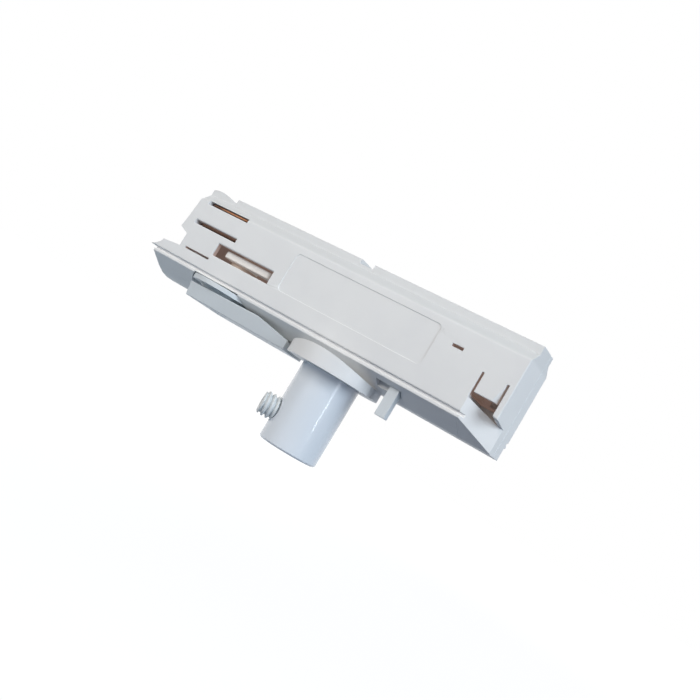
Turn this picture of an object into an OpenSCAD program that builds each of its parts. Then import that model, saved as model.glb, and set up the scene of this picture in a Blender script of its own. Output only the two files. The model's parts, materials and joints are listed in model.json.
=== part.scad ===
// Track light adapter for a pendant lamp.
// A two-part moulded housing goes up into the track. A lever underneath turns a rotor, which swings
// the lock wing out of the front window and pushes the copper contact blades out of their slots.
// The cord nipple hangs below the round flange.
// Frame: origin on the cord nipple's axis at the lower edge of the housing's side faces.
// X runs along the track, Z points up into it and the labelled front side faces -Y.

/* [Housing] */
// Nipple axis to the left end of the housing
reach_left = 57; // [56:0.5:60]
// Nipple axis to the right end of the housing
reach_right = 42.7; // [42:0.1:48]
// Width across the side faces
body_w = 14.6; // [14.2:0.1:16]
// Height of the flat side faces
side_h = 16.6; // [16.2:0.1:18]
// Inward lean of the shoulder
shoulder_in = 2.9; // [2.4:0.1:3.2]
// Height of the sloped shoulder
shoulder_h = 2.2; // [2:0.1:3]
// Height of the rib along the top
rib_h = 2.1; // [1.8:0.1:3]
// Wall thickness of the moulding
wall = 1.6; // [1.4:0.05:1.8]
// Parting plane behind the middle plane
parting_y = 2.5; // [2.1:0.1:3]
// Reach of the rail that leads into the track, left of the housing
rail_reach = 6.2; // [4:0.1:8]
// Height of that rail
rail_h = 3; // [2.4:0.1:3.6]
// Depth of the recessed panel
panel_depth = 0.15; // [0.1:0.05:0.5]
// Length of the recessed panel
panel_l = 42.6; // [30:0.2:48]
// Height of the recessed panel
panel_h = 10.2; // [8:0.1:11]
// Width of the snap tongue at the right end
tongue_w = 5.6; // [4:0.1:6]
// Height of the snap tongue
tongue_h = 4.6; // [3:0.1:5]
// Width of the cut on each side of the snap tongue
tongue_gap = 0.6; // [0.4:0.05:1]

/* [Base] */
// Height from the housing's edge to the flat bottom of the base
base_h = 4.5; // [4.2:0.1:6]
// Depth of the groove that takes the track's lip
groove_in = 1; // [0.6:0.1:1.4]
// Height of that groove
groove_h = 0.7; // [0.5:0.05:1]
// Radius of the round flange
flange_r = 12.2; // [11:0.1:12.6]
// Bottom of the round flange below the housing's edge
flange_low = 6.7; // [6:0.1:8]
// Thickness of the round flange at its front and back
flange_t = 4.2; // [4:0.1:5]
// Extra height of the heel at the base's left end
heel_h = 0.9; // [0.4:0.1:0.9]

/* [Nipple] */
// Outer diameter of the cord nipple
nipple_d = 15; // [14:0.1:16]
// Lower end of the nipple below the housing's edge
nipple_low = 27.1; // [25:0.1:32]
// Bore that the cord hangs in
cord_d = 8.5; // [7:0.1:9]
// Bore through the threaded neck
neck_bore_d = 5.5; // [4.5:0.1:6]
// Diameter of the threaded neck
neck_d = 8; // [7.6:0.1:8.4]
// Diameter of the cord clamping screw
clamp_d = 6; // [5:0.1:7]
// Length of the clamping screw
clamp_l = 6.6; // [5:0.1:6.7]
// How far the clamping screw stands out of the nipple
clamp_out = 3.6; // [2:0.1:4]
// Thread pitch of the clamping screw
clamp_pitch = 1.2; // [0.8:0.1:1.5]

/* [Lever and rotor] */
// Distance of the lever's pivot from the nipple axis
pivot_reach = 38.2; // [37.8:0.1:39.5]
// Radius of the lever's round collar
collar_r = 10; // [9:0.1:11]
// Thickness of that collar
collar_h = 1.2; // [1:0.1:1.5]
// Lower face of the lever below the housing's edge
lever_low = 7.2; // [7:0.1:9]
// Half width of the lever
lever_half_w = 8.3; // [7.6:0.1:9]
// Height of the grip wall along the lever's front
grip_h = 3.6; // [2.5:0.1:4]
// Radius of the rotor's journal in the base
journal_r = 3.5; // [3:0.1:3.8]
// Radius of the rotor's spindle
spindle_r = 1.6; // [1.4:0.05:1.7]
// Reach of the lock wing from the pivot
wing_reach = 11.6; // [10:0.1:13]
// Thickness of the lock wing
wing_h = 1.8; // [1.6:0.1:2.2]

/* [Contacts] */
// Travel of the contact blades for a quarter turn of the lever
contact_lift = 2.2; // [1.6:0.1:2.3]
// Length of the blade slots in the side faces
slot_l = 14; // [12:0.1:14.5]
// Height of the blade slots
slot_h = 1; // [0.9:0.05:1.2]
// Thickness of the copper blades
blade_t = 0.4; // [0.3:0.05:0.5]
// Middle of the upper blade slot below the upper edge of the side faces
slot_drop = 0.2; // [0.1:0.05:0.4]
// Height of the lower blade slot above the housing's edge
slot_z_lower = 10.5; // [9.8:0.1:10.8]

/* [Selector] */
// Width of the thumb tab
tab_w = 2.7; // [2.4:0.1:3.4]
// Thickness of the thumb tab
tab_t = 1.9; // [1.6:0.1:2.4]
// Lower end of the thumb tab below the housing's edge
tab_low = 9.3; // [8:0.1:11]
// Travel of the selector towards the flange
selector_travel = 3.6; // [2:0.1:4]

/* [Fits] */
// Radial clearance of a turning or sliding fit
run_fit = 0.05; // [0.02:0.01:0.1]
// Clearance between parts that move past each other
move_gap = 0.3; // [0.2:0.05:0.4]
// Clearance of a part that is laid into a pocket
seat_gap = 0.1; // [0.05:0.05:0.2]

/* [Hidden] */
$fn = 64;
eps = 0.01;
far = 60;
half_w = body_w / 2;
rib_half = half_w - shoulder_in;
shoulder_z = side_h + shoulder_h;
top_z = shoulder_z + rib_h;
roof_z = top_z - wall;
inner_half = half_w - wall;
inner_rib_half = rib_half - wall;
inner_side_z = side_h - wall / 2;
inner_shoulder_z = shoulder_z - wall / 2;
white = "#eef0f3";
gloss_white = "#f4f6fa";
ivory = "#e4e2da";
copper = "#b5774a";
brass = "#c9a75c";
steel = "#b9bcc0";

// Left end of the housing, seen from the front
end_x = -reach_left;
rail_x = end_x - rail_reach;
notch_x = end_x + 2.5;
notch_z = 6.5;
nose_x = end_x - 0.5;
nose_z = notch_z + 1.2;
cheek_z = side_h - 0.5;
crown_x = end_x + 0.2;
crown_z = top_z - 0.55;
bump_x = crown_x + 2.2;
bump_top = top_z - 0.1;
valley_z = top_z - 1.2;
bump_l = 8.9;
rib_x = end_x + bump_l;
bump_gap = 0.8;

// Inside of the housing
cavity_x0 = notch_x + 0.9;
cavity_x1 = reach_right - wall - 0.2;
floor_l = 9.7;
floor_x = reach_right - floor_l;
floor_z = 4.2;

// Snap tongue and the bevelled corner at the right end
tongue_x = reach_right - 2 - tongue_w;
tongue_top = 9.7;
bevel_l = 8.1;
bevel_x = reach_right - bevel_l;
bevel_in = 6.5;
bevel_z0 = 3.67;
bevel_z1 = 1.95;
tongue_lean = 1.2;
tongue_facet = 32;
roof_tilt = 7;

// Panel, small slot, thin slit and the notch in the rib
panel_z = 9.7;
panel_r = 1.2;
pin_slot = [25.4, 12, 2.9, 0.7];
slit = [-52.6, 3.25, 8.6, 0.5];
rib_notch = [-6.7, 3.8, 1.2];

// Lever and rotor heights
pivot_x = -pivot_reach;
base_web = 1;
collar_top = -base_web - move_gap;
collar_low = collar_top - collar_h;
boss_r = inner_half - move_gap;
boss_top = 2.4;
thrust_z = boss_top + move_gap;
thrust_h = 1.6;
thrust_r = journal_r + 1.3;
drive_w = 5;
drive_z = thrust_z + thrust_h;
wing_z = drive_z + 1.6;
drive_top = wing_z + wing_h;
plate_top = -base_h - 0.4;
pocket_r = collar_r + 0.4;
lever_back = 6;
lever_lean = 0.9;
flange_gap = 1;
grip_t = 3.1;
grip_slope_x = 16.7;
screw_r = 1.1;
screw_head_r = 2.3;
screw_head_h = 1.6;
screw_head_z = plate_top - 0.4;
screw_top = drive_z + 2;
pin_r = 1.5;
pin_boss_half = 3.5;
pin_z = inner_shoulder_z - 0.5;
pin_top = top_z - 1.1;

// Lock window: the wing swings out between its ends
wing_front = inner_half - move_gap - 0.2;
wing_depth = 3.4;
wing_heel = 3.8;
wing_tip_r = 0.9;
wing_hub = 1.3;
window_x0 = pivot_x - wing_front - move_gap - 0.05;
window_l = 19.1;
window_z0 = wing_z - 1.25;
window_h = wing_z - window_z0 + wing_h + move_gap;

// Cam and contact carriers
cam_r = spindle_r + 0.2;
cam_gap = 0.4;
nose_r = 0.4;
arm_t = 0.6;
cam_h = 2.2;
cam_z = 12.4;
slot_z_upper = side_h - slot_drop;
slot_x0 = end_x + 3.5;
slot_x1 = slot_x0 + slot_l;
slot_depth = wall + 1.6;
slot_run = 0.7;
blade_tip = half_w - 0.8;
carrier_in = 0.4;
carrier_out = cam_r + cam_gap + nose_r + arm_t;
carrier_x1 = pivot_x - cam_r - contact_lift - 0.7;
carrier_x0 = slot_x0 + 0.5;
carrier_z0 = slot_z_lower + blade_t / 2;
carrier_z1 = inner_side_z - move_gap;
pad_z = slot_z_upper - blade_t / 2;
pad_out = 1.6;
blade_lip = carrier_out + 1.2;

// Trough across the flange's top and the heel that the lever swings past
trough_z = 0.1 - base_h;
trough_r = crown_arc(flange_r, flange_t - flange_low - trough_z);
heel_low = base_h + heel_h;
heel_r = norm([lever_back, lever_half_w]) + move_gap;
heel_x = pivot_x - lever_half_w - move_gap;

// Nipple, its nut and the clamping screw
nipple_r = nipple_d / 2;
neck_r = neck_d / 2;
neck_top = 4.2;
shoulder_low = 9;
washer_r = 5.4;
washer_h = 0.6;
nut_flat = 2 * inner_half - 0.8;
nut_h = 3;
clamp_z = -19.9;
clamp_turn = 217;
clamp_tip = nipple_r + clamp_out;
clamp_core = clamp_d / 2 - 0.55;
socket_flat = 2.5;
socket_depth = 1.6;

// Selector and its slot in the base
tab_x = flange_r + 4.4;
tab_in = 2.5;
tab_y = tab_in + tab_t / 2 - half_w;
shoe_l = tab_w + 2.6;
shoe_w = 2 * (inner_half - move_gap) - 1;
shoe_z = move_gap;
shoe_h = 1.2;
bridge_t = 0.4;
bridge_in = 0.5;
bridge_leg = 1;
bridge_slot = 1.6;

// Terminal block
block_end = 21.2;
block_x = reach_right - block_end;
block_l = 12;
block_w = 2 * (inner_half - move_gap - 0.2);
block_z = 5;
block_h = 6.2;
way_pitch = 3.3;
cage = [6, 2.6, 2.8];
cage_z = block_z + 1.1;
way_x = block_x + block_l / 2;
shelf_t = 1.2;
wire_screw_r = 0.8;
wire_head_r = 1.3;
wire_head_h = 1.3;

// Extrudes a Y-Z section along X
module along_x(x0, x1) {
    translate([x0, 0, 0]) rotate([90, 0, 90]) linear_extrude(x1 - x0) children();
}

// Extrudes an X-Z outline along Y
module along_y(y0, y1) {
    translate([0, y1, 0]) rotate([90, 0, 0]) linear_extrude(y1 - y0) children();
}

// Rectangle with round corners, lower left corner at the origin
module round_rect(l, h, r) {
    translate([r, 0]) square([l - 2 * r, h]);
    translate([0, r]) square([l, h - 2 * r]);
    for (x = [r, l - r], y = [r, h - r]) translate([x, y]) circle(r);
}

// Points of an arc from one angle to another
function arc(c, r, a0, a1, n = 8) =
    [for (i = [0:n]) c + r * [cos(a0 + (a1 - a0) * i / n), sin(a0 + (a1 - a0) * i / n)]];

// Cross section of the housing: side faces, shoulders and rib
function housing_section(half, side_z, shoulder, rib, top, low) =
    [[-half, low], [half, low], [half, side_z], [rib, shoulder], [rib, top],
     [-rib, top], [-rib, shoulder], [-half, side_z]];

// Radius of an arc with a level crown that falls by dz over dx
function crown_arc(dx, dz) = (dx * dx + dz * dz) / (2 * dz);

// The housing seen from the front, with its stepped left end, the bump and the rail
function housing_outline() = let (
    r_long = crown_arc(rib_x - bump_gap - bump_x, bump_top - valley_z),
    r_short = crown_arc(bump_x - crown_x, bump_top - crown_z),
    a_long = asin((rib_x - bump_gap - bump_x) / r_long),
    a_short = asin((bump_x - crown_x) / r_short)) concat(
    [[reach_right, 0], [reach_right, top_z], [rib_x, top_z], [rib_x, valley_z]],
    arc([bump_x, bump_top - r_long], r_long, 90 - a_long, 90),
    arc([bump_x, bump_top - r_short], r_short, 90 + a_short / 4, 90 + a_short, 3),
    [[crown_x, shoulder_z], [end_x + 0.9, side_h + 0.2], [end_x + 0.5, cheek_z], [end_x, notch_z + 4.4],
     [nose_x, nose_z], [notch_x, notch_z],
     [notch_x, rail_h], [rail_x + 2.9, rail_h - 0.5], [rail_x + 2.6, rail_h * 0.55],
     [rail_x + 1.2, 0.5], [rail_x, 0]]);

// Solid housing without its hollow, between two planes across the width
module housing_block(y0, y1) {
    intersection() {
        along_x(rail_x, reach_right)
            polygon(housing_section(half_w, side_h, shoulder_z, rib_half, top_z, 0));
        along_y(y0, y1) polygon(housing_outline());
    }
}

// Hollow of the housing, open at the bottom
module housing_hollow() {
    along_x(cavity_x0, rib_x + wall + eps) polygon(
        housing_section(inner_half, inner_side_z, inner_shoulder_z, inner_rib_half, valley_z - wall, -1));
    along_x(rib_x + wall, floor_x) polygon(
        housing_section(inner_half, inner_side_z, inner_shoulder_z, inner_rib_half, roof_z, -1));
    along_x(floor_x - eps, cavity_x1) polygon(
        housing_section(inner_half, inner_side_z, inner_shoulder_z, inner_rib_half, roof_z, floor_z));
}

// Slots that the contact blades come out of, on one side
module blade_slots() {
    for (slot = [[slot_z_lower, slot_run], [slot_z_upper, 0]])
        along_y(-half_w - eps, slot_depth - half_w)
            translate([slot_x0 - slot[1], slot[0] - slot_h / 2]) square([slot_l + slot[1], slot_h]);
}

// Tilts a cut about the front edge of the bevel's roof, so that the roof falls towards the inside
module tilt_roof() {
    translate([0, -half_w, bevel_z0]) rotate([-roof_tilt, 0, 0]) translate([0, half_w, -bevel_z0]) children();
}

// Corner that is bevelled so that the adapter enters the track one way round only
module bevel_cut() {
    intersection() {
        translate([0, 0, -far / 2]) linear_extrude(far)
            polygon([[bevel_x, -half_w], [reach_right, bevel_in - half_w],
                     [reach_right + 1, bevel_in - half_w], [reach_right + 1, -half_w - 1],
                     [bevel_x, -half_w - 1]]);
        tilt_roof() along_y(-half_w - 2, half_w)
            polygon([[bevel_x - 1, -far], [reach_right + 2, -far], [reach_right + 2, bevel_z1],
                     [bevel_x - 1, bevel_z0]]);
    }
}

// Toe at the right end that reaches down beside the base, between two planes across the width
module toe(y0, y1) {
    intersection() {
        along_x(bevel_x, reach_right) polygon(base_section(wall));
        translate([bevel_x, y0, -far / 2]) cube([far, y1 - y0, far]);
    }
}

// Cut round the snap tongue, which hangs from its upper edge and leans back on its right side
module tongue_cut() {
    x0 = tongue_x - tongue_gap;
    x1 = tongue_x + tongue_w + tongue_gap;
    low = tongue_top - tongue_h;
    along_y(-half_w - eps, eps - inner_half) polygon(
        [[x0, tongue_top], [tongue_x, tongue_top], [tongue_x, low], [tongue_x + tongue_w, low],
         [tongue_x + tongue_w, tongue_top], [x1, tongue_top], [x1, bevel_z1 + 0.35], [x0, bevel_z0]]);
    intersection() {
        tilt_roof() along_y(-half_w - 2, half_w) polygon(
            [[x0, tongue_top], [x1, tongue_top], [x1, bevel_z1 + 0.35], [x0, bevel_z0]]);
        along_y(-half_w - eps, parting_y + eps) translate([x0, 0]) square([x1 - x0, low]);
    }
    intersection() {
        translate([tongue_x + tongue_w, -half_w, tongue_top])
            rotate([0, atan(tongue_lean / tongue_h), 0]) rotate([0, 0, tongue_facet])
                translate([0, -wall, -2 * tongue_h]) cube([2 * tongue_lean, wall, 2 * tongue_h]);
        along_y(-half_w - eps, -inner_half)
            translate([tongue_x, low - eps]) square([tongue_w + tongue_gap / 2, tongue_h + eps]);
    }
}

// Front half with the blade slots, lock window, panel and snap tongue
module housing_front() {
    color(white) {
        difference() {
            union() {
                housing_block(-half_w - 1, parting_y);
                toe(-half_w - 1, parting_y);
            }
            housing_hollow();
            blade_slots();
            bevel_cut();
            tongue_cut();
            along_y(-half_w - eps, eps - inner_half)
                translate([window_x0, window_z0]) square([window_l, window_h]);
            along_y(-half_w - eps, panel_depth - half_w)
                translate([-panel_l / 2, panel_z - panel_h / 2]) round_rect(panel_l, panel_h, panel_r);
            along_y(-half_w - eps, eps - inner_half)
                for (cut = [pin_slot, slit])
                    translate([cut[0], cut[1] - cut[3] / 2]) square([cut[2], cut[3]]);
            along_y(-far, far)
                translate([rib_notch[0], top_z - rib_notch[2]]) square([rib_notch[1], far]);
            pin_hole();
        }
        difference() {
            translate([pivot_x - pin_boss_half, -inner_rib_half - eps, pin_z + move_gap])
                cube([2 * pin_boss_half, inner_rib_half + parting_y, roof_z - pin_z - move_gap + eps]);
            pin_hole();
        }
        for (x = [block_x + 1, block_x + block_l - 1 - shelf_t])
            translate([x, -inner_half - eps, shoe_z + shoe_h + bridge_t + move_gap])
                cube([shelf_t, inner_half + parting_y, block_z - shoe_z - shoe_h - bridge_t - move_gap]);
    }
}

// Blind hole for the rotor's upper pin
module pin_hole() {
    translate([pivot_x, 0, pin_z]) cylinder(r = pin_r + run_fit, h = pin_top + move_gap - pin_z);
}

// Back half, joined to the front half at the parting plane
module housing_back() {
    color(white) difference() {
        union() {
            housing_block(parting_y, half_w + 1);
            toe(parting_y, half_w + 1);
        }
        housing_hollow();
        mirror([0, 1, 0]) blade_slots();
        along_y(-far, far)
            translate([rib_notch[0], top_z - rib_notch[2]]) square([rib_notch[1], far]);
    }
}

// Section of the base: groove for the track's lip, bead, and the front chamfer that keys the adapter
function base_section(top = 0, chamfer = [[-0.8, 0.15 - base_h], [0, -base_h]], low = -base_h) =
    let (neck = half_w - groove_in, bead = half_w - 0.3, skirt = half_w - 1.2, bead_low = -groove_h - 0.6)
    concat([[-neck, top], [-neck, -groove_h], [-bead, -groove_h], [-bead, bead_low]], chamfer,
           [[skirt, low], [skirt, bead_low], [bead, bead_low], [bead, -groove_h], [neck, -groove_h],
            [neck, top]]);

// Section of the heel, which is rounder and reaches lower
function heel_section() = base_section(
    0, [[-2.1, 0.6 - base_h], [0.6, -base_h - heel_h / 2], [3, -heel_low]], -heel_low);

// Round flange, hollowed by a trough along the track
module flange() {
    difference() {
        translate([0, 0, -flange_low]) cylinder(r = flange_r, h = flange_t, $fn = 128);
        translate([-far / 2, 0, trough_z + trough_r]) rotate([0, 90, 0])
            cylinder(r = trough_r, h = far, $fn = 256);
    }
}

// Base that closes the housing, carries the lever and ends in the round flange
module base_plate() {
    color(white) difference() {
        union() {
            along_x(end_x - 4.5, bevel_x) polygon(base_section());
            along_x(end_x - 4.5, heel_x) polygon(heel_section());
            flange();
            translate([pivot_x, 0, -eps]) cylinder(r = boss_r, h = boss_top + eps);
        }
        translate([pivot_x, 0, -base_h - 1]) cylinder(r = pocket_r, h = base_h + 1 - base_web);
        translate([pivot_x, 0, -base_h - 1]) cylinder(r = heel_r, h = 1);
        translate([pivot_x, 0, -base_h]) cylinder(r = journal_r + run_fit, h = base_h + boss_top + 1);
        translate([0, 0, -far / 2]) cylinder(r = neck_r + seat_gap, h = far);
        translate([tab_x - selector_travel - move_gap, tab_y - tab_t / 2 - move_gap, -flange_low - 1])
            cube([tab_w + selector_travel + 2 * move_gap, tab_t + 2 * move_gap, far]);
    }
}

// Cord nipple: a glossy sleeve with a threaded neck that goes through the base
module cord_nipple() {
    edge = 0.4;
    color(gloss_white) difference() {
        rotate_extrude($fn = 128) polygon([
            [cord_d / 2, -nipple_low], [nipple_r - edge, -nipple_low], [nipple_r, -nipple_low + edge],
            [nipple_r, -flange_low], [neck_r, -flange_low], [neck_r, neck_top],
            [neck_bore_d / 2, neck_top], [neck_bore_d / 2, -shoulder_low], [cord_d / 2, -shoulder_low]]);
        translate([0, 0, clamp_z]) rotate([0, 90, clamp_turn])
            cylinder(r = clamp_d / 2 + run_fit, h = nipple_d);
    }
}

// Flat washer under the nipple's nut
module nipple_washer() {
    color(steel) difference() {
        cylinder(r = washer_r, h = washer_h);
        translate([0, 0, -eps]) cylinder(r = neck_r + seat_gap, h = washer_h + 2 * eps);
    }
}

// Thin hexagon nut that pulls the nipple up against the flange
module nipple_nut() {
    color(brass) translate([0, 0, washer_h]) difference() {
        cylinder(d = nut_flat / cos(30), h = nut_h, $fn = 6);
        translate([0, 0, -eps]) cylinder(r = neck_r + run_fit, h = nut_h + 2 * eps);
    }
}

// Headless nylon screw that clamps the cord, with a hexagon socket in its outer end
module cord_screw() {
    crest = clamp_d / 2;
    turns = floor(clamp_l / clamp_pitch);
    color(gloss_white) translate([0, 0, clamp_z]) rotate([0, 90, clamp_turn])
        translate([0, 0, clamp_tip - clamp_l]) difference() {
            rotate_extrude() polygon(concat(
                [[0, 0], [clamp_core, 0]],
                [for (i = [0:turns - 1],
                      p = [[clamp_core, 0.1], [crest, 0.4], [crest, 0.6], [clamp_core, 0.9]])
                    [p[0], (i + p[1]) * clamp_pitch]],
                [[clamp_core, clamp_l], [0, clamp_l]]));
            translate([0, 0, clamp_l - socket_depth])
                cylinder(d = socket_flat / cos(30), h = socket_depth + 1, $fn = 6);
        }
}

// Plan of the lever: hollowed round the flange in front, kept inside its own swing behind
module lever_plan() {
    x0 = pivot_x - lever_back;
    difference() {
        translate([x0, -lever_half_w]) square([-x0, lever_half_w]);
        circle(flange_r + flange_gap, $fn = 128);
        translate([-flange_r / 2, -lever_half_w - 1]) square(lever_half_w + 2);
    }
    intersection() {
        translate([x0, -eps]) square([-x0, lever_half_w]);
        translate([pivot_x, 0]) circle(pivot_reach - flange_r - flange_gap, $fn = 128);
    }
}

// Lever with its round collar, waisted neck, flat paddle and the grip wall along the front
module lever() {
    neck_h = collar_low - plate_top;
    waist_r = collar_r - neck_h - 1.4;
    grip_top = grip_h - lever_low;
    color(white) difference() {
        union() {
            translate([pivot_x, 0, 0]) rotate_extrude($fn = 128) polygon(concat(
                [[0, plate_top - eps], [waist_r, plate_top - eps]],
                arc([waist_r + neck_h, plate_top], neck_h, 180, 90),
                [[collar_r, collar_low], [collar_r, collar_top], [0, collar_top]]));
            translate([0, 0, -lever_low]) linear_extrude(plate_top + lever_low) lever_plan();
            intersection() {
                translate([0, 0, -lever_low]) linear_extrude(far) lever_plan();
                along_y(-lever_half_w, grip_t - lever_half_w) polygon([
                    [pivot_x - lever_back, -lever_low], [0, -lever_low], [0, plate_top - 0.3],
                    [-flange_r + 1, plate_top], [pivot_x + grip_slope_x, grip_top + 0.4],
                    [pivot_x - lever_back, grip_top]]);
            }
        }
        along_x(pivot_x - lever_back - 1, 1) polygon([
            [-lever_half_w - 1, -lever_low - eps], [lever_lean - lever_half_w, -lever_low - eps],
            [-lever_half_w, grip_top + 0.4], [-lever_half_w - 1, grip_top + 0.4]]);
        translate([pivot_x, 0, -far / 2]) cylinder(r = screw_r + seat_gap, h = far);
        translate([pivot_x, 0, -lever_low - 1])
            cylinder(r = screw_head_r + seat_gap, h = screw_head_z + lever_low + 1);
    }
}

// Screw that holds the lever on the rotor
module lever_screw() {
    color(steel) translate([pivot_x, 0, 0]) difference() {
        union() {
            translate([0, 0, screw_head_z - screw_head_h]) cylinder(r = screw_head_r, h = screw_head_h);
            translate([0, 0, screw_head_z - eps]) cylinder(r = screw_r, h = screw_top - screw_head_z);
        }
        for (a = [0, 90]) rotate(a)
            translate([-1.4, -0.3, screw_head_z - screw_head_h - 1]) cube([2.8, 0.6, 1.8]);
    }
}

// Two-lobed cam whose radius grows evenly through each quarter turn
function cam_points(steps = 12) =
    [for (half = [0, 180], i = [0:steps])
        let (a = half - 90 + 90 * i / steps, r = cam_r + contact_lift * i / steps) r * [cos(a), sin(a)]];

// Rotor: journal in the base, square drive for the lock wing, spindle with the cam, upper pin
module rotor_spindle() {
    color(ivory) translate([pivot_x, 0, 0]) difference() {
        union() {
            translate([0, 0, collar_top]) cylinder(r = journal_r, h = thrust_z - collar_top + eps);
            translate([0, 0, thrust_z]) cylinder(r = thrust_r, h = thrust_h);
            translate([0, 0, drive_z - eps]) cylinder(r = journal_r, h = wing_z - drive_z + eps);
            translate([-drive_w / 2, -drive_w / 2, wing_z - eps])
                cube([drive_w, drive_w, drive_top - wing_z + eps]);
            translate([0, 0, drive_top - eps]) cylinder(r = spindle_r, h = pin_z - drive_top + eps);
            translate([0, 0, cam_z]) linear_extrude(cam_h) union() {
                circle(cam_r);
                polygon(cam_points());
            }
            translate([0, 0, pin_z - eps]) cylinder(r = pin_r, h = pin_top - pin_z);
        }
        translate([0, 0, collar_top - 1])
            cylinder(r = screw_r + run_fit, h = screw_top - collar_top + 1 + seat_gap);
    }
}

// Lock wing on the rotor's square: its bar lies behind the window and swings out over the track's lip
module lock_wing() {
    hub_r = drive_w / 2 + wing_hub;
    square_w = drive_w + 2 * seat_gap;
    color(gloss_white) translate([pivot_x, 0, wing_z]) difference() {
        linear_extrude(wing_h) union() {
            circle(hub_r);
            translate([-wing_heel, -wing_front])
                round_rect(wing_heel + wing_reach, wing_depth, wing_tip_r);
        }
        translate([-square_w / 2, -square_w / 2, -wing_h]) cube([square_w, square_w, 3 * wing_h]);
    }
}

// Sliding carrier that holds the two blades of one side and follows the cam with its nose
module carrier() {
    color(ivory) {
        translate([carrier_x0, -carrier_out, carrier_z0])
            cube([carrier_x1 - carrier_x0, carrier_out - carrier_in, carrier_z1 - carrier_z0]);
        translate([carrier_x0, -pad_out, carrier_z1 - eps])
            cube([carrier_x1 - carrier_x0, pad_out - carrier_in, pad_z - carrier_z1 + eps]);
        translate([carrier_x1 - eps, -carrier_out, cam_z])
            cube([pivot_x + nose_r - carrier_x1 + eps, arm_t, cam_h]);
        translate([pivot_x, arm_t - carrier_out, cam_z]) cylinder(r = nose_r, h = cam_h);
    }
}

// Copper blade of one side at the height of its slot
module blade(slot_z) {
    x0 = slot_x0 + move_gap;
    x1 = slot_x1 - move_gap;
    color(copper) translate([0, 0, slot_z - blade_t / 2]) linear_extrude(blade_t) polygon([
        [x0 + 1, -blade_tip], [x1 - 1, -blade_tip], [x1, 0.6 - blade_tip], [x1, -blade_lip],
        [carrier_x1, -blade_lip], [carrier_x1, -carrier_in], [x0 + 0.2, -carrier_in],
        [x0, 0.6 - blade_tip]]);
}

module carrier_front() { carrier(); }
module carrier_back() { mirror([0, 1, 0]) carrier(); }
module blade_front_upper() { blade(slot_z_upper); }
module blade_front_lower() { blade(slot_z_lower); }
module blade_back_upper() { mirror([0, 1, 0]) blade(slot_z_upper); }
module blade_back_lower() { mirror([0, 1, 0]) blade(slot_z_lower); }

// Selector: a shoe on top of the base with its thumb tab below
module selector_slider() {
    color(white) {
        translate([tab_x + tab_w / 2 - shoe_l / 2, -shoe_w / 2, shoe_z]) cube([shoe_l, shoe_w, shoe_h]);
        translate([tab_x, tab_y - tab_t / 2, -tab_low]) cube([tab_w, tab_t, tab_low + shoe_z + eps]);
    }
}

// Copper bridge on the selector's shoe
module selector_contact() {
    color(copper) translate([tab_x + tab_w / 2, 0, shoe_z + shoe_h]) {
        linear_extrude(bridge_t) difference() {
            square([shoe_l - 2 * bridge_in, shoe_w - 2 * bridge_in], center = true);
            square([shoe_l - 2 * bridge_in - 2 * bridge_leg, bridge_slot], center = true);
        }
    }
}

// Terminal block on its two shelves, with a way for each conductor
module terminal_block() {
    color(ivory) difference() {
        translate([block_x, -block_w / 2, block_z]) cube([block_l, block_w, block_h]);
        for (i = [-1:1]) translate([way_x, i * way_pitch, 0]) {
            translate([-cage[0] / 2 - seat_gap, -cage[1] / 2 - seat_gap, cage_z - seat_gap])
                cube([block_l, cage[1] + 2 * seat_gap, cage[2] + 2 * seat_gap]);
            translate([-block_l, 0, cage_z + cage[2] / 2]) rotate([0, 90, 0]) cylinder(r = 1.2, h = block_l);
            translate([0, 0, cage_z]) cylinder(r = 1.4, h = block_h);
        }
    }
}

// Brass wire cages, one in each way
module terminal_cages() {
    color(brass) for (i = [-1:1]) translate([way_x, i * way_pitch, cage_z]) difference() {
        translate([-cage[0] / 2, -cage[1] / 2, 0]) cube(cage);
        translate([-cage[0], 0, cage[2] / 2]) rotate([0, 90, 0]) cylinder(r = 0.9, h = 2 * cage[0]);
        translate([0, 0, cage[2] / 2]) cylinder(r = wire_screw_r + run_fit, h = cage[2]);
    }
}

// Screws that clamp the conductors in the cages
module terminal_screws() {
    head_z = cage_z + cage[2] + 1;
    color(steel) for (i = [-1:1]) translate([way_x, i * way_pitch, 0]) difference() {
        union() {
            translate([0, 0, cage_z + cage[2] * 0.7])
                cylinder(r = wire_screw_r, h = head_z - cage_z - cage[2] * 0.7 + eps);
            translate([0, 0, head_z]) cylinder(r = wire_head_r, h = wire_head_h);
        }
        translate([-2 * wire_head_r, -wire_head_r / 5, head_z + wire_head_h / 2])
            cube([4 * wire_head_r, 2 * wire_head_r / 5, wire_head_h]);
    }
}

housing_front();
housing_back();
base_plate();
cord_nipple();
nipple_washer();
nipple_nut();
cord_screw();
lever();
lever_screw();
rotor_spindle();
lock_wing();
carrier_front();
carrier_back();
blade_front_upper();
blade_front_lower();
blade_back_upper();
blade_back_lower();
selector_slider();
selector_contact();
terminal_block();
terminal_cages();
terminal_screws();
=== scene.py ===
"""Dresses the track light adapter: eased mouldings, a threaded nylon screw, finishes and a small studio."""

from __future__ import annotations

import json
import logging
import math
from dataclasses import dataclass, field
from enum import Enum
from typing import Any

import bmesh
import bpy
import numpy as np
from mathutils import Matrix, Vector

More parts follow.
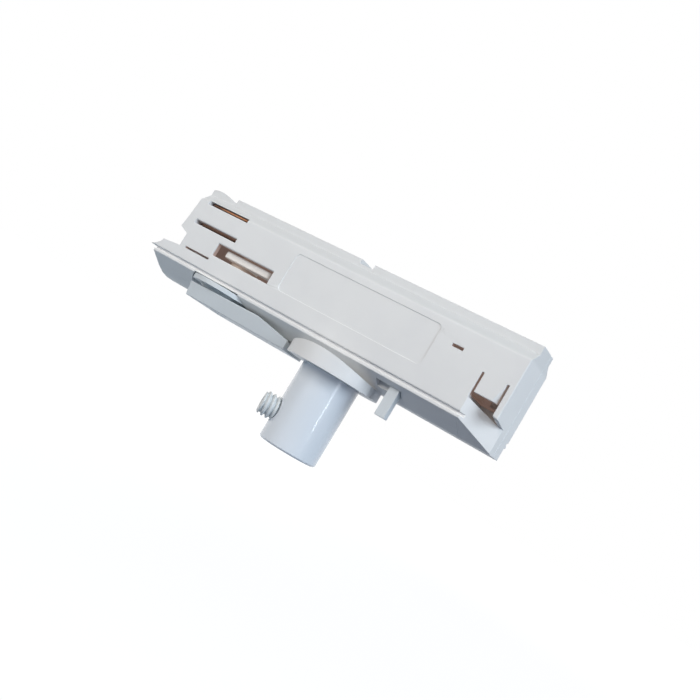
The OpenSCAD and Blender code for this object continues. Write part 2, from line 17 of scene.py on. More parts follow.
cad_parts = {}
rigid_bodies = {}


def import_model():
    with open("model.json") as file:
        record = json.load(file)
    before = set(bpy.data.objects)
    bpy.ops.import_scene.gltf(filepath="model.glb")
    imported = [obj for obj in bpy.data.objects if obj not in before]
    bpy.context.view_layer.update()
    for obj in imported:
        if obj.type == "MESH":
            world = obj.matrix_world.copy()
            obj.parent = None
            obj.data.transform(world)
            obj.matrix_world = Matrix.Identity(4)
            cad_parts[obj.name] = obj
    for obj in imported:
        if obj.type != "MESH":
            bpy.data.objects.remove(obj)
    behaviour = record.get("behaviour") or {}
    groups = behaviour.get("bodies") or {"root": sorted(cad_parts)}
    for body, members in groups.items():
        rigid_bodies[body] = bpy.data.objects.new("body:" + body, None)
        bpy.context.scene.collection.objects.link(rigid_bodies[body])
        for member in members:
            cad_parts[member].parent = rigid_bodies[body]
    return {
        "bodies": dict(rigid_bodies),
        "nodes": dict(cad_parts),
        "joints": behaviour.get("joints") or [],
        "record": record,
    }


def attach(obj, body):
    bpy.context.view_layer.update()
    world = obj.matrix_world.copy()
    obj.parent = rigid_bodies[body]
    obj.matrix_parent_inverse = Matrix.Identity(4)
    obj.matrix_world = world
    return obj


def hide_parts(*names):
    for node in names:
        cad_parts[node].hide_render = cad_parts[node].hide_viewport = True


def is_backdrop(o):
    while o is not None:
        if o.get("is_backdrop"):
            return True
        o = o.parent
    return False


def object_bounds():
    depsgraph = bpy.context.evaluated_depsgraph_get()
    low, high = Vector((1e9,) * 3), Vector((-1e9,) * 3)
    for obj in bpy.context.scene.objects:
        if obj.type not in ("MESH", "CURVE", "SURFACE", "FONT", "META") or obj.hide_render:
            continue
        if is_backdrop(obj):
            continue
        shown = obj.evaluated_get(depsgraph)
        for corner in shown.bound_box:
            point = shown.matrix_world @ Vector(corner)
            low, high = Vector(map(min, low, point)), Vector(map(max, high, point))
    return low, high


LOG = logging.getLogger("track_adapter")
MM = 0.001
FLOOR_DROP = 16 * MM

# Limits for joining the solids' triangles into faces. COPLANAR is in radians.
JOINED_WITHIN = 0.002 * MM
SLIVER_LENGTH = 0.001 * MM
FLAT_DEGREES = 0.4
COPLANAR = 1e-4

# How strongly the larger faces set the normals at a corner, as the modifier counts it.
LARGE_FACE_WEIGHT = 80

# Knife edge at the foot of the front half's tongue pocket: its tip, and the corner it is drawn back to.
POCKET_LIP = (Vector((37.5, -7.3, 3.06)) * MM, Vector((34.6, -7.3, 3.51)) * MM)

Color = tuple[float, float, float]
Point = tuple[float, float, float]
Span = tuple[float, float]

WHITE: Color = (1.0, 1.0, 1.0)
BLACK: Color = (0.0, 0.0, 0.0)


class Slot(Enum):
    """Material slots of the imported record."""

    HOUSING = "housing_white"
    LEVER = "lever_white"
    NIPPLE = "nipple_white"
    NYLON = "nylon_white"
    WING = "wing_white"
    INNER = "inner_ivory"
    COPPER = "contact_copper"
    BRASS = "cage_brass"
    STEEL = "screw_steel"


class Value:
    """A number on a shader socket, with arithmetic that adds Math nodes to its graph."""

    def __init__(self, graph: "Graph", socket: bpy.types.NodeSocket) -> None:
        """Wraps one output socket of a graph."""
        self.graph = graph
        self.socket = socket

    def _math(self, operation: str, left: Any, right: Any) -> "Value":
        """Adds one Math node for an operation on two values or numbers."""
        return self.graph.node("ShaderNodeMath", {"operation": operation}, {0: left, 1: right})

    def __add__(self, other: Any) -> "Value":
        """Sum of this value and another."""
        return self._math("ADD", self, other)

    def __sub__(self, other: Any) -> "Value":
        """This value less another."""
        return self._math("SUBTRACT", self, other)

    def __rsub__(self, other: Any) -> "Value":
        """Another value less this one."""
        return self._math("SUBTRACT", other, self)

    def __mul__(self, other: Any) -> "Value":
        """Product of this value and another."""
        return self._math("MULTIPLY", self, other)

    def above(self, low: float, high: float) -> "Value":
        """Smooth step from 0 at low to 1 at high."""
        ends = {"From Min": low, "From Max": high, "To Min": 0.0, "To Max": 1.0}
        return self.graph.node(
            "ShaderNodeMapRange", {"interpolation_type": "SMOOTHSTEP"}, {"Value": self, **ends})


Paint = Value | Color


class Graph:
    """A material's node tree, built from expressions."""

    # Places of the share and the two colours on a Mix node, where names repeat, and of its colour output.
    MIX_INPUTS = (0, 6, 7)
    MIX_OUTPUT = 2

    def __init__(self, tree: bpy.types.NodeTree) -> None:
        """Empties a node tree and keeps it."""
        self.tree = tree
        tree.nodes.clear()

    def node(self, kind: str, settings: dict[str, Any], inputs: dict[Any, Any], output: Any = 0) -> Value:
        """Adds one node.

        Args:
            kind: Blender's type name of the node.
            settings: attributes, set before the sockets.
            inputs: values, Values or colours by socket name or index.
            output: name or index of the socket that is handed back.

        Returns:
            The chosen output as a Value.
        """
        made = self.tree.nodes.new(kind)
        for name, setting in settings.items():
            setattr(made, name, setting)
        for key, entry in inputs.items():
            if isinstance(entry, Value):
                self.tree.links.new(entry.socket, made.inputs[key])
            else:
                made.inputs[key].default_value = entry
        return Value(self, made.outputs[output])

    def coordinates(self) -> Value:
        """Object coordinates, which are the part's own frame in metres."""
        return self.node("ShaderNodeTexCoord", {}, {}, "Object")

    def noise(self, vector: Value, grain: float, detail: float = 2.0, rough: float = 0.5) -> Value:
        """Noise from 0 to 1 whose features measure about grain metres."""
        inputs = {"Vector": vector, "Scale": 1.0 / grain, "Detail": detail, "Roughness": rough}
        return self.node("ShaderNodeTexNoise", {}, inputs, 0)

    def blend(self, share: Value, first: Paint, second: Paint) -> Value:
        """Mixes two colours.

        Args:
            share: 0 for the first colour, 1 for the second.
            first: colour or Value at share 0.
            second: colour or Value at share 1.

        Returns:
            The mixed colour.
        """
        settings = {"data_type": "RGBA", "blend_type": "MIX"}
        ends = [paint if isinstance(paint, Value) else (*paint, 1.0) for paint in (first, second)]
        inputs = dict(zip(self.MIX_INPUTS, (share, *ends)))
        return self.node("ShaderNodeMix", settings, inputs, self.MIX_OUTPUT)

    def parts(self, vector: Value) -> tuple[Value, Value, Value]:
        """Splits a vector.

        Args:
            vector: coordinates on one socket.

        Returns:
            The three coordinates.
        """
        first = self.node("ShaderNodeSeparateXYZ", {}, {0: vector}, 0)
        outputs = first.socket.node.outputs
        return first, Value(self, outputs[1]), Value(self, outputs[2])

    def stretch(self, vector: Value, scale: Point) -> Value:
        """Coordinates scaled along each axis."""
        return self.node("ShaderNodeMapping", {}, {"Vector": vector, "Scale": scale})

    def bump(self, height: Value, depth: float) -> Value:
        """Normal bent by a height from 0 to 1 over a depth in metres."""
        return self.node("ShaderNodeBump", {}, {"Strength": 1.0, "Distance": depth, "Height": height})

    def surface(self, inputs: dict[str, Any]) -> None:
        """Ends the graph in a Principled shader."""
        shader = self.node("ShaderNodeBsdfPrincipled", {}, inputs)
        self.node_output(shader, "ShaderNodeOutputMaterial")

    def node_output(self, shader: Value, kind: str) -> None:
        """Links a shader to a new output node."""
        out = self.tree.nodes.new(kind)
        self.tree.links.new(shader.socket, out.inputs["Surface"])


def new_material(name: str) -> tuple[bpy.types.Material, Graph]:
    """Makes an empty material.

    Args:
        name: name of the material.

    Returns:
        The material and the graph of its nodes.
    """
    material = bpy.data.materials.new(name)
    material.use_nodes = True
    return material, Graph(material.node_tree)


@dataclass(frozen=True)
class HollowZone:
    """Where the housing's inner walls and the track groove lie, as start and end of each smooth change."""

    face: Span = (6.7 * MM, 7.1 * MM)
    floor: Span = (4.0 * MM, 4.5 * MM)
    slot_floor: Span = (2.6 * MM, 2.9 * MM)
    slot_end: Span = (-44.2 * MM, -43.6 * MM)
    roof: Span = (15.6 * MM, 16.2 * MM)
    left: Span = (-53.8 * MM, -53.0 * MM)
    right: Span = (40.6 * MM, 41.2 * MM)
    tongue_left: Span = (35.15 * MM, 35.3 * MM)
    tongue_right: Span = (40.55 * MM, 40.75 * MM)
    tongue_foot: Span = (5.05 * MM, 5.2 * MM)
    groove_low: Span = (-0.8 * MM, -0.5 * MM)
    groove_high: Span = (-0.1 * MM, 0.05 * MM)
    groove_back: Span = (6.15 * MM, 6.28 * MM)
    groove_front: Span = (6.4 * MM, 6.6 * MM)

    @staticmethod
    def from_middle(graph: Graph, y: Value) -> Value:
        """Distance from the middle plane."""
        return graph.node("ShaderNodeMath", {"operation": "ABSOLUTE"}, {0: y})

    def inside(self, graph: Graph, place: Value) -> Value:
        """1 on the inner walls of the housing and in its openings, 0 on the outer faces and the tongue.

        Args:
            graph: the graph under construction.
            place: object coordinates.

        Returns:
            A share that rises through the thickness of the side walls.
        """
        x, y, z = graph.parts(place)
        low = z.above(*self.floor)
        low = low + (1.0 - low) * z.above(*self.slot_floor) * (1.0 - x.above(*self.slot_end))
        along = x.above(*self.left) * (1.0 - x.above(*self.right))
        tongue = x.above(*self.tongue_left) * (1.0 - x.above(*self.tongue_right))
        tongue = tongue * z.above(*self.tongue_foot)
        walls = (1.0 - self.from_middle(graph, y).above(*self.face)) * (1.0 - z.above(*self.roof))
        return walls * low * along * (1.0 - tongue)

    def groove(self, graph: Graph, place: Value) -> Value:
        """1 on the back of the groove that takes the track's lip, else 0.

        Args:
            graph: the graph under construction.
            place: object coordinates.

        Returns:
            A share that is 1 in the narrow band of the groove's back.
        """
        _, y, z = graph.parts(place)
        depth = self.from_middle(graph, y)
        band = z.above(*self.groove_low) * (1.0 - z.above(*self.groove_high))
        return band * depth.above(*self.groove_back) * (1.0 - depth.above(*self.groove_front))


@dataclass(frozen=True)
class MouldedPlastic:
    """White moulded plastic with spark-eroded grain, faint flow clouds and uneven gloss; where set, painted shade
    and a painted glow.
    """

    name: str
    color: Color
    shade: Color
    roughness: float
    grain: float = 0.22 * MM
    depth: float = 0.006 * MM
    cloud: float = 9 * MM
    coat: float = 0.0
    # Painted glow: emission colour on the inner walls, standing in for light through the thin walls.
    painted_glow: Color | None = None
    # Painted shade: a darker colour from the shoulder up, for less light on the top; when set, the inner walls
    # get their painted shade too.
    painted_top_shade: Color | None = None
    # Painted shade: brown colour on the inner walls and in the openings.
    painted_inner_shade: Color = (0.40, 0.30, 0.26)
    # Painted glow on the back of the groove, lightening its shade.
    painted_groove_glow: Color = (0.15, 0.145, 0.15)
    hollow: HollowZone = HollowZone()
    cloud_range: Span = (0.35, 0.7)
    # Heights over which the painted top shade comes in.
    painted_top_shade_range: Span = (16.2 * MM, 17.2 * MM)
    pit_spacing: float = 5.0
    pit_range: Span = (0.62, 0.78)
    pit_depth: float = 0.35
    grain_gloss: float = 0.12
    cloud_gloss: float = 0.06
    coat_roughness: float = 0.06
    refraction: float = 1.5

    def build(self) -> bpy.types.Material:
        """Makes the material.

        Returns:
            A material whose colour drifts with wide clouds and whose gloss follows the grain.
        """
        material, graph = new_material(self.name)
        place = graph.coordinates()
        clouds = graph.noise(place, self.cloud, detail=3.0)
        grain = graph.noise(place, self.grain, detail=3.0, rough=0.6)
        pits = graph.noise(place, self.grain * self.pit_spacing, detail=1.0).above(*self.pit_range)
        paint = graph.blend(clouds.above(*self.cloud_range), self.color, self.shade)
        # Painted shade: darker from the shoulder up.
        if self.painted_top_shade is not None:
            height = graph.parts(place)[2]
            paint = graph.blend(height.above(*self.painted_top_shade_range), paint, self.painted_top_shade)
            # Painted shade: brown on the inner walls and in the openings.
            paint = graph.blend(self.hollow.inside(graph, place), paint, self.painted_inner_shade)
        least = self.roughness - (self.grain_gloss + self.cloud_gloss) / 2
        graph.surface({
            "Base Color": paint,
            "Roughness": grain * self.grain_gloss + clouds * self.cloud_gloss + least,
            "Normal": graph.bump(grain - pits * self.pit_depth, self.depth),
            "IOR": self.refraction,
            "Coat Weight": self.coat,
            "Coat Roughness": self.coat_roughness,
            **self.painted_glow_emission(graph, place),
        })
        return material

    def painted_glow_emission(self, graph: Graph, place: Value) -> dict[str, Any]:
        """Painted glow: emission for the warm light that the thin walls let through, seen only on the inside of
        the housing.

        Args:
            graph: the graph under construction.
            place: object coordinates.

        Returns:
            Emission inputs of the painted glow, empty for plastic without it.
        """
        if self.painted_glow is None:
            return {}
        walls = graph.blend(self.hollow.inside(graph, place), BLACK, self.painted_glow)
        # The back of the groove gets a painted glow of its own, which lightens its shade.
        return {
            "Emission Color": graph.blend(self.hollow.groove(graph, place), walls, self.painted_groove_glow),
            "Emission Strength": 1.0,
        }


@dataclass(frozen=True)
class DrawnMetal:
    """Rolled, turned or plated metal with fine drawing lines, a little tarnish and, where set, painted shade."""

    name: str
    color: Color
    tarnish: Color
    roughness: float
    lines: Point = (0.08, 1.0, 1.0)
    # Painted shade: a dark copper colour for the shade in the slots, kept off only high up and to the right, over
    # the two spans below.
    painted_slot_shade: Color | None = None
    unshaded_above: Span = (12.6 * MM, 13.4 * MM)
    unshaded_from: Span = (-53.0 * MM, -45.0 * MM)
    line_grain: float = 0.1 * MM
    line_depth: float = 0.003 * MM
    line_gloss: float = 0.18
    stain_grain: float = 2.5 * MM
    stain_range: Span = (0.4, 0.75)
    stain_gloss: float = 0.15
    gloss_offset: float = 0.1

    def build(self) -> bpy.types.Material:
        """Makes the material.

        Returns:
            A metal whose lines run along the axis that is least scaled.
        """
        material, graph = new_material(self.name)
        place = graph.coordinates()
        lines = graph.noise(graph.stretch(place, self.lines), self.line_grain, detail=2.0)
        stain = graph.noise(place, self.stain_grain, detail=4.0).above(*self.stain_range)
        paint = graph.blend(stain, self.color, self.tarnish)
        if self.painted_slot_shade is not None:
            # Painted shade: the copper is dark low down and to the left.
            x, _, z = graph.parts(place)
            unshaded = z.above(*self.unshaded_above) * x.above(*self.unshaded_from)
            paint = graph.blend(unshaded, self.painted_slot_shade, paint)
        least = self.roughness - self.gloss_offset
        graph.surface({
            "Base Color": paint,
            "Metallic": 1.0,
            "Roughness": lines * self.line_gloss + stain * self.stain_gloss + least,
            "Normal": graph.bump(lines, self.line_depth),
        })
        return material


def finishes() -> dict[Slot, bpy.types.Material]:
    """Makes one material for each slot of the record.

    Returns:
        The materials by slot.
    """
    table: dict[Slot, MouldedPlastic | DrawnMetal] = {
        # Housing: the shoulder colour is painted shade on the top band, and its inner walls get painted shade and
        # a painted glow.
        Slot.HOUSING: MouldedPlastic(
            "satin_housing_plastic", (0.80, 0.805, 0.805), (0.78, 0.785, 0.79), roughness=0.46,
            painted_glow=(0.095, 0.066, 0.056), painted_top_shade=(0.71, 0.72, 0.725)),
        # Lever and tab: the same white plastic, darker and bluer as painted shade for the parts below the body.
        Slot.LEVER: MouldedPlastic(
            "lever_plastic_painted_shade", (0.665, 0.71, 0.74), (0.645, 0.69, 0.725), roughness=0.40),
        # Nipple: its base colour is tinted blue as a painted cool fill light.
        Slot.NIPPLE: MouldedPlastic(
            "polished_nipple_plastic_painted_cool_light", (0.76, 0.81, 0.87), (0.745, 0.80, 0.865), roughness=0.24,
            depth=0.002 * MM, coat=0.5),
        Slot.NYLON: MouldedPlastic(
            "natural_nylon", (0.71, 0.74, 0.75), (0.68, 0.71, 0.72), roughness=0.36, depth=0.003 * MM),
        # Wing bar: painted_glow is a painted glow on it.
        Slot.WING: MouldedPlastic(
            "smooth_wing_plastic", (0.86, 0.85, 0.83), (0.84, 0.83, 0.80), roughness=0.34,
            depth=0.003 * MM, painted_glow=(0.11, 0.11, 0.108)),
        # Inner blocks: base colour darkened to brown as painted shade inside the housing; painted_glow is a
        # painted glow.
        Slot.INNER: MouldedPlastic(
            "inner_block_plastic", (0.60, 0.53, 0.46), (0.55, 0.48, 0.41), roughness=0.5,
            painted_glow=(0.07, 0.045, 0.036)),
        # Copper: dull is painted slot shade on the lower blades and the left of the upper ones.
        Slot.COPPER: DrawnMetal(
            "bare_copper_strip", (0.29, 0.14, 0.075), (0.14, 0.07, 0.045), roughness=0.5,
            painted_slot_shade=(0.075, 0.042, 0.03)),
        Slot.BRASS: DrawnMetal("turned_brass", (0.80, 0.62, 0.30), (0.62, 0.46, 0.20), roughness=0.3),
        Slot.STEEL: DrawnMetal("zinc_plated_steel", (0.66, 0.67, 0.69), (0.52, 0.53, 0.55), roughness=0.34),
    }
    return {slot: finish.build() for slot, finish in table.items()}


def link_mesh(name: str, mesh: bpy.types.Mesh, material: bpy.types.Material) -> bpy.types.Object:
    """Puts a mesh into the scene as an object at the origin.

    Args:
        name: name of the piece.
        mesh: its finished mesh.
        material: its only material.

    Returns:
        The new object.
    """
    mesh.materials.clear()
    mesh.materials.append(material)
    made = bpy.data.objects.new(name, mesh)
    bpy.context.scene.collection.objects.link(made)
    return made


def grid_mesh(name: str, points: np.ndarray, closed_u: bool, caps: bool) -> bpy.types.Mesh:
    """Builds a mesh from a grid of points.

    Args:
        name: name of the mesh.
        points: array of rows by columns by 3.
        closed_u: whether the last column joins the first.
        caps: whether the first and last rows are closed with a face.

    Returns:
        A mesh with quads between neighbouring rows and columns.
    """
    rows, columns = points.shape[:2]
    index = np.arange(rows * columns).reshape(rows, columns)
    right = np.roll(index, -1, axis=1)
    if not closed_u:
        index, right = index[:, :-1], right[:, :-1]
    quads = np.stack([index[:-1], right[:-1], right[1:], index[1:]], axis=-1).reshape(-1, 4)
    faces = quads.tolist()
    if caps:
        faces.append(np.arange(columns)[::-1].tolist())
        faces.append((np.arange(columns) + (rows - 1) * columns).tolist())
    mesh = bpy.data.meshes.new(name)
    mesh.from_pydata(points.reshape(-1, 3).tolist(), [], faces)
    mesh.update()
    return mesh


@dataclass
class Moulding:
    """A solid of the frame with its sharp edges eased, standing for that solid."""

    node: str
    piece: str
    slot: Slot
    edge: float
    segments: int = 3
    angle: float = 28.0
    long_edge: float = 12 * MM
    fine: float = 0.4
    room_share: float = 0.3
    drawn_back: tuple[Vector, Vector] | None = None

    def draw_back(self, work: bmesh.types.BMesh) -> None:
        """Takes off a knife edge: moves the corner nearest the first point to that nearest the second.

        Args:
            work: the copied mesh with its doubles merged.
        """
        if self.drawn_back is None:
            return
        tip, root = (
            min(work.verts, key=lambda vert: (vert.co - point).length) for point in self.drawn_back)
        bmesh.ops.pointmerge(work, verts=[tip, root], merge_co=root.co)
        bmesh.ops.dissolve_degenerate(work, dist=SLIVER_LENGTH, edges=work.edges)

    def weigh(self, work: bmesh.types.BMesh) -> None:
        """Gives sharp edges their bevel weights: long outer ones in full, the others a fine share.

        A narrow face holds the weight down, so that the bevels of its two sides don't meet.

        Args:
            work: the joined mesh, whose edges get the weight that the bevel reads.
        """
        weights = work.edges.layers.float.new("bevel_weight_edge")
        for edge in work.edges:
            if len(edge.link_faces) != 2 or edge.calc_face_angle() <= math.radians(self.angle):
                continue
            length = edge.calc_length()
            room = min(face.calc_area() for face in edge.link_faces) / length * self.room_share
            share = 1.0 if edge.is_convex and length > self.long_edge else self.fine
            edge[weights] = min(share, room / self.edge)

    @staticmethod
    def cut_flats(work: bmesh.types.BMesh) -> None:
        """Cuts faces into well shaped triangles, so that the bevel folds fewer slivers over.

        Args:
            work: the joined mesh with its bevel weights.
        """
        bmesh.ops.triangulate(work, faces=work.faces, quad_method="BEAUTY", ngon_method="BEAUTY")
        shared = (edge for edge in work.edges if len(edge.link_faces) == 2)
        flats = [edge for edge in shared if edge.calc_face_angle(1.0) < COPLANAR]
        bmesh.ops.beautify_fill(work, faces=work.faces, edges=flats, method="AREA")

    def join_faces(self, mesh: bpy.types.Mesh) -> None:
        """Joins the triangles of a solid into faces and weighs their edges.

        Args:
            mesh: a copy of the solid's mesh, which is changed.
        """
        work = bmesh.new()
        work.from_mesh(mesh)
        bmesh.ops.remove_doubles(work, verts=work.verts, dist=JOINED_WITHIN)
        self.draw_back(work)
        bmesh.ops.recalc_face_normals(work, faces=work.faces)
        bmesh.ops.dissolve_limit(
            work, angle_limit=math.radians(FLAT_DEGREES), verts=work.verts, edges=work.edges,
            delimit={"NORMAL"})
        for face in work.faces:
            face.smooth = True
        self.weigh(work)
        self.cut_flats(work)
        work.to_mesh(mesh)
        work.free()

    def ease_edges(self, made: bpy.types.Object) -> None:
        """Rounds the weighed edges and keeps the faces between them flat.

        Args:
            made: the piece, which gets two modifiers.
        """
        ease = made.modifiers.new("eased_edges", "BEVEL")
        ease.width = self.edge
        ease.segments = self.segments
        ease.limit_method = "WEIGHT"
        ease.use_clamp_overlap = False
        ease.loop_slide = False
        ease.harden_normals = True
        ease.miter_outer = "MITER_ARC"
        level = made.modifiers.new("flat_faces", "WEIGHTED_NORMAL")
        level.keep_sharp = True
        level.weight = LARGE_FACE_WEIGHT

    def build(self, solid: bpy.types.Object, body: str, material: bpy.types.Material) -> bpy.types.Object:
        """Copies the solid, joins its triangles into faces and rounds its edges.

        Args:
            solid: the frame's object of this node.
            body: the body that it rides on.
            material: its finish.

        Returns:
            The eased piece.
        """
        mesh = solid.data.copy()
        mesh.name = self.piece
        self.join_faces(mesh)
        made = link_mesh(self.piece, mesh, material)
        self.ease_edges(made)
        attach(made, body)
        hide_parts(self.node)
        return made


@dataclass
class ClampScrew:
    """The headless nylon screw with a real helical thread and a hexagon socket in its outer end."""

    node: str = "cord_screw"
    piece: str = "nylon_clamp_screw"
    crest: float = 3.0 * MM
    core: float = 2.42 * MM
    pitch: float = 1.2 * MM
    flank: float = 4.2
    root_share: float = 0.45
    chamfer: float = 0.5 * MM
    socket_flat: float = 2.5 * MM
    socket_depth: float = 1.6 * MM
    columns: int = 72
    rows_per_turn: int = 16

    def thread(self, length: float) -> np.ndarray:
        """Points of the thread on the Z axis.

        The radius at angle a and height z is the core plus the thread height times a trapezoid wave of
        z over the pitch less a over a full turn, held inside a cone at both ends.

        Args:
            length: length of the screw.

        Returns:
            Rows by columns by 3 points.
        """
        rows = int(round(length / self.pitch * self.rows_per_turn)) + 1
        height, angle = np.meshgrid(
            np.linspace(0.0, length, rows), np.linspace(0.0, 2 * np.pi, self.columns, endpoint=False),
            indexing="ij")
        phase = np.mod(height / self.pitch - angle / (2 * np.pi), 1.0)
        wave = np.clip((0.5 - np.abs(phase - 0.5)) * self.flank - self.root_share, 0.0, 1.0)
        radius = self.core + (self.crest - self.core) * wave
        to_end = np.minimum(height, length - height)
        radius = np.minimum(radius, self.crest - self.chamfer + to_end)
        return np.stack([radius * np.cos(angle), radius * np.sin(angle), height], axis=-1)

    def build(
        self, solid: bpy.types.Object, body: str, axis: Vector, material: bpy.types.Material
    ) -> bpy.types.Object:
        """Makes the screw in the place of its solid.

        Args:
            solid: the frame's solid of the screw.
            body: the body that it rides on.
            axis: direction in which the screw feeds.
            material: its finish.

        Returns:
            The threaded piece.
        """
        points = np.array([vert.co for vert in solid.data.vertices])
        low, high = points.min(0), points.max(0)
        outward = -axis.normalized()
        reach = points @ np.array(outward)
        length = float(reach.max() - reach.min())
        middle_z = (low[2] + high[2]) / 2
        start = outward * float(reach.min()) + Vector((0.0, 0.0, middle_z))
        turn = outward.to_track_quat("Z", "Y").to_matrix().to_4x4()
        place = Matrix.Translation(start) @ turn
        mesh = grid_mesh(self.piece, self.thread(length), closed_u=True, caps=True)
        self.cut_socket(mesh, length)
        mesh.transform(place)
        for face in mesh.polygons:
            face.use_smooth = True
        made = link_mesh(self.piece, mesh, material)
        crease = made.modifiers.new("thread_edges", "WEIGHTED_NORMAL")
        crease.keep_sharp = True
        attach(made, body)
        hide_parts(self.node)
        return made

    def cut_socket(self, mesh: bpy.types.Mesh, length: float) -> None:
        """Cuts the hexagon socket into the outer end of a mesh on the Z axis.

        Args:
            mesh: the threaded mesh, which is changed.
            length: length of the screw.
        """
        body = bpy.data.objects.new("socket_blank", mesh)
        angle = np.arange(6) * np.pi / 3
        across = self.socket_flat / 2 / math.cos(math.pi / 6)
        rows = [np.stack([across * np.cos(angle), across * np.sin(angle), np.full(6, z)], axis=-1)
                for z in (length - self.socket_depth, length + self.socket_depth)]
        key_mesh = grid_mesh("socket_key", np.stack(rows), closed_u=True, caps=True)
        key = bpy.data.objects.new("socket_key", key_mesh)
        for piece in (body, key):
            bpy.context.scene.collection.objects.link(piece)
        cut = body.modifiers.new("socket", "BOOLEAN")
        cut.object = key
        cut.operation = "DIFFERENCE"
        cut.solver = "EXACT"
        solved = body.evaluated_get(bpy.context.evaluated_depsgraph_get())
        result = bpy.data.meshes.new_from_object(solved)
        # The result goes back into the mesh that was handed in.
        work = bmesh.new()
        work.from_mesh(result)
        work.to_mesh(mesh)
        work.free()
        bpy.data.meshes.remove(result)
        bpy.data.objects.remove(body)
        bpy.data.objects.remove(key)
        bpy.data.meshes.remove(key_mesh)


@dataclass
class PhotoCamera:
    """Camera at the photograph's viewing angle, in millimetres of the part's frame."""

    place: Point = (101.8, -182.3, -14.06)
    right: Point = (0.7672, 0.384, 0.5138)
    ahead: Point = (-0.4843, 0.872, 0.0714)
    focal_px: float = 890.0
    frame_px: float = 700.0
    sensor_mm: float = 36.0
    clip: Span = (0.01, 20.0)

    def build(self) -> bpy.types.Object:
        """Makes the camera and hands it to the scene.

        Returns:
            The camera object.
        """
        data = bpy.data.cameras.new("photo_camera")
        data.sensor_fit = "HORIZONTAL"
        data.sensor_width = self.sensor_mm
        data.lens = self.focal_px / self.frame_px * self.sensor_mm
        data.clip_start, data.clip_end = self.clip
        back = -Vector(self.ahead).normalized()
        side = (Vector(self.right) - back * Vector(self.right).dot(back)).normalized()
        up = back.cross(side)
        turn = Matrix((side, up, back)).transposed()
        made = bpy.data.objects.new("photo_camera", data)
        made.matrix_world = Matrix.Translation(Vector(self.place) * MM) @ turn.to_4x4()
        bpy.context.scene.collection.objects.link(made)
        bpy.context.scene.camera = made
        return made


@dataclass(frozen=True)
class SoftLight:
    """One soft box: where it stands, its width and height, its power and its tint."""

    name: str
    place: Point
    size: Span
    power: float
    tint: Color = WHITE


@dataclass
class Studio:
    """Pale floor, white surround and soft boxes.

    The camera sees the floor as the glow by its share, which rises a little away from the part, and the
    rest of it as paint that holds the part's soft shadow.
    """

    floor_z: float
    floor_half: float = 1.6
    floor_points: int = 9
    floor_change: Span = (-70 * MM, 40 * MM)
    glow: float = 1.4
    glow_share: float = 0.69
    glow_rise: float = 0.05
    glow_range: Span = (0.003, 0.05)
    floor_left: Color = (0.30, 0.38, 0.46)
    floor_right: Color = (0.09, 0.12, 0.18)
    ambient: Color = (0.92, 0.96, 1.0)
    ambient_strength: float = 0.22
    lights: list[SoftLight] = field(default_factory=lambda: [
        SoftLight("key_box", (-0.30, -0.70, 0.32), (0.5, 0.5), 3.55, (1.0, 0.935, 0.865)),
        SoftLight("right_box", (0.64, -0.25, 0.30), (0.4, 0.4), 3.5, (0.82, 0.915, 1.0)),
        SoftLight("window_strip", (0.75, -0.29, 0.02), (0.02, 0.5), 0.85, (0.84, 0.92, 1.0)),
        SoftLight("back_box", (-0.2, 0.6, 0.45), (0.5, 0.5), 1.6),
    ])

    def build(self) -> None:
        """Makes the floor, the surround and the lights."""
        self.floor()
        self.surround()
        for light in self.lights:
            data = bpy.data.lights.new(light.name, "AREA")
            data.shape = "RECTANGLE"
            data.size, data.size_y = light.size
            data.energy = light.power
            data.color = light.tint
            made = bpy.data.objects.new(light.name, data)
            made.location = light.place
            made.rotation_euler = (-Vector(light.place)).to_track_quat("-Z", "Y").to_euler()
            bpy.context.scene.collection.objects.link(made)

    def floor(self) -> None:
        """Lays a flat grid below the part, white to the camera but for the part's soft shadow."""
        steps = np.linspace(-self.floor_half, self.floor_half, self.floor_points)
        across, along = np.meshgrid(steps, steps)
        points = np.stack([across, along, np.full_like(across, self.floor_z)], axis=-1)
        material, graph = new_material("pale_floor")
        x, y, _ = graph.parts(graph.coordinates())
        paint = graph.blend(x.above(*self.floor_change), self.floor_left, self.floor_right)
        diffuse = graph.node("ShaderNodeBsdfDiffuse", {}, {"Color": paint})
        glow = graph.node("ShaderNodeEmission", {}, {"Color": (*WHITE, 1.0), "Strength": self.glow})
        share = (x * x + y * y).above(*self.glow_range) * self.glow_rise + self.glow_share
        mix = graph.node("ShaderNodeMixShader", {}, {0: seen_directly(graph) * share, 1: diffuse, 2: glow})
        graph.node_output(mix, "ShaderNodeOutputMaterial")
        link_mesh("floor", grid_mesh("floor", points, closed_u=False, caps=False), material)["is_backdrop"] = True

    def surround(self) -> None:
        """White to the camera and in reflections, a dimmer cool light elsewhere."""
        world = bpy.data.worlds.new("studio")
        world.use_nodes = True
        graph = Graph(world.node_tree)
        dim = graph.node(
            "ShaderNodeBackground", {}, {"Color": (*self.ambient, 1.0), "Strength": self.ambient_strength})
        white = graph.node("ShaderNodeBackground", {}, {"Color": (*WHITE, 1.0), "Strength": 1.0})
        mix = graph.node("ShaderNodeMixShader", {}, {0: seen_directly(graph), 1: dim, 2: white})
        graph.node_output(mix, "ShaderNodeOutputWorld")
        bpy.context.scene.world = world


def seen_directly(graph: Graph) -> Value:
    """Tells what the camera sees, directly or by a mirror, from what only lights the part.

    Args:
        graph: the graph under construction.

    Returns:
        1 for rays from the camera, in reflections or through glass, else 0.
    """
    path = graph.node("ShaderNodeLightPath", {}, {}, "Is Camera Ray")
    outputs = path.socket.node.outputs
    rays = path + Value(graph, outputs["Is Glossy Ray"]) + Value(graph, outputs["Is Transmission Ray"])
    return graph.node("ShaderNodeMath", {"operation": "MINIMUM"}, {0: rays, 1: 1.0})


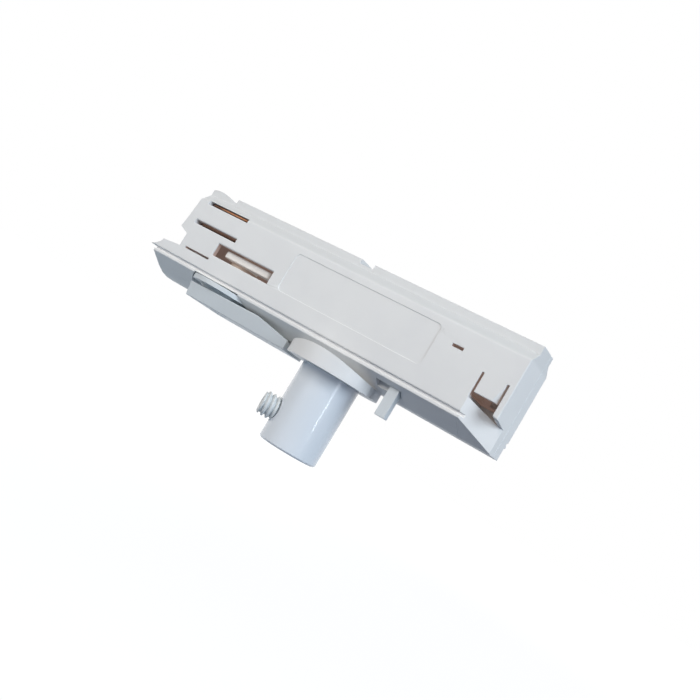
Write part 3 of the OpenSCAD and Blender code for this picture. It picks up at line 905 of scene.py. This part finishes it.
@dataclass
class Adapter:
    """The whole track light adapter: eased mouldings, the screw and the carried-over inner parts."""

    mouldings: list[Moulding] = field(default_factory=lambda: [
        Moulding(
            "housing_front", "front_housing", Slot.HOUSING, 0.38 * MM, segments=4, fine=0.25,
            drawn_back=POCKET_LIP),
        Moulding("housing_back", "back_housing", Slot.HOUSING, 0.38 * MM, segments=4, fine=0.25),
        Moulding("base_plate", "base_and_flange", Slot.HOUSING, 0.12 * MM),
        Moulding("lever", "lock_lever", Slot.LEVER, 0.22 * MM),
        Moulding("cord_nipple", "cord_nipple_sleeve", Slot.NIPPLE, 0.2 * MM),
        Moulding("selector_slider", "selector_tab", Slot.LEVER, 0.25 * MM),
        Moulding("lock_wing", "lock_wing_bar", Slot.WING, 0.35 * MM, segments=4, fine=1.0),
        *(Moulding(f"blade_{side}_{level}", f"{side}_{level}_blade", Slot.COPPER, 0.08 * MM, segments=2)
          for side in ("front", "back") for level in ("upper", "lower")),
    ])
    screw: ClampScrew = field(default_factory=ClampScrew)

    def build(self, frame: dict[str, Any]) -> None:
        """Dresses every node of the frame.

        Args:
            frame: what the frame's loader handed back.
        """
        record = frame["record"]
        nodes = frame["nodes"]
        materials = finishes()
        slots = {row["node"]: Slot(row["material_slot"]) for row in record["subparts"]}
        bodies = record["behaviour"]["bodies"]
        body_of = {node: body for body, members in bodies.items() for node in members}
        for moulding in self.mouldings:
            made = moulding.build(nodes[moulding.node], body_of[moulding.node], materials[moulding.slot])
            LOG.info("piece %s stands for %s", made.name, moulding.node)
        feed = next(joint for joint in frame["joints"] if joint["child"] == body_of[self.screw.node])
        made = self.screw.build(
            nodes[self.screw.node], body_of[self.screw.node], Vector(feed["axis"]), materials[Slot.NYLON])
        LOG.info("piece %s stands for %s", made.name, self.screw.node)
        for node, solid in nodes.items():
            solid.data.materials.clear()
            solid.data.materials.append(materials[slots[node]])
            LOG.info("solid %s finished as %s", node, slots[node].value)


def main() -> None:
    """Loads the frame, dresses the adapter and sets up camera and studio."""
    logging.basicConfig(level=logging.INFO, format="%(name)s: %(message)s")
    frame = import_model()
    cad_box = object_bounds()
    bpy.context.scene.view_settings.view_transform = "Standard"
    LOG.info("camera %s", PhotoCamera().build().name)
    Adapter().build(frame)
    Studio(floor_z=cad_box[0].z - FLOOR_DROP).build()
    bpy.context.view_layer.update()


if __name__ == "__main__":
    main()
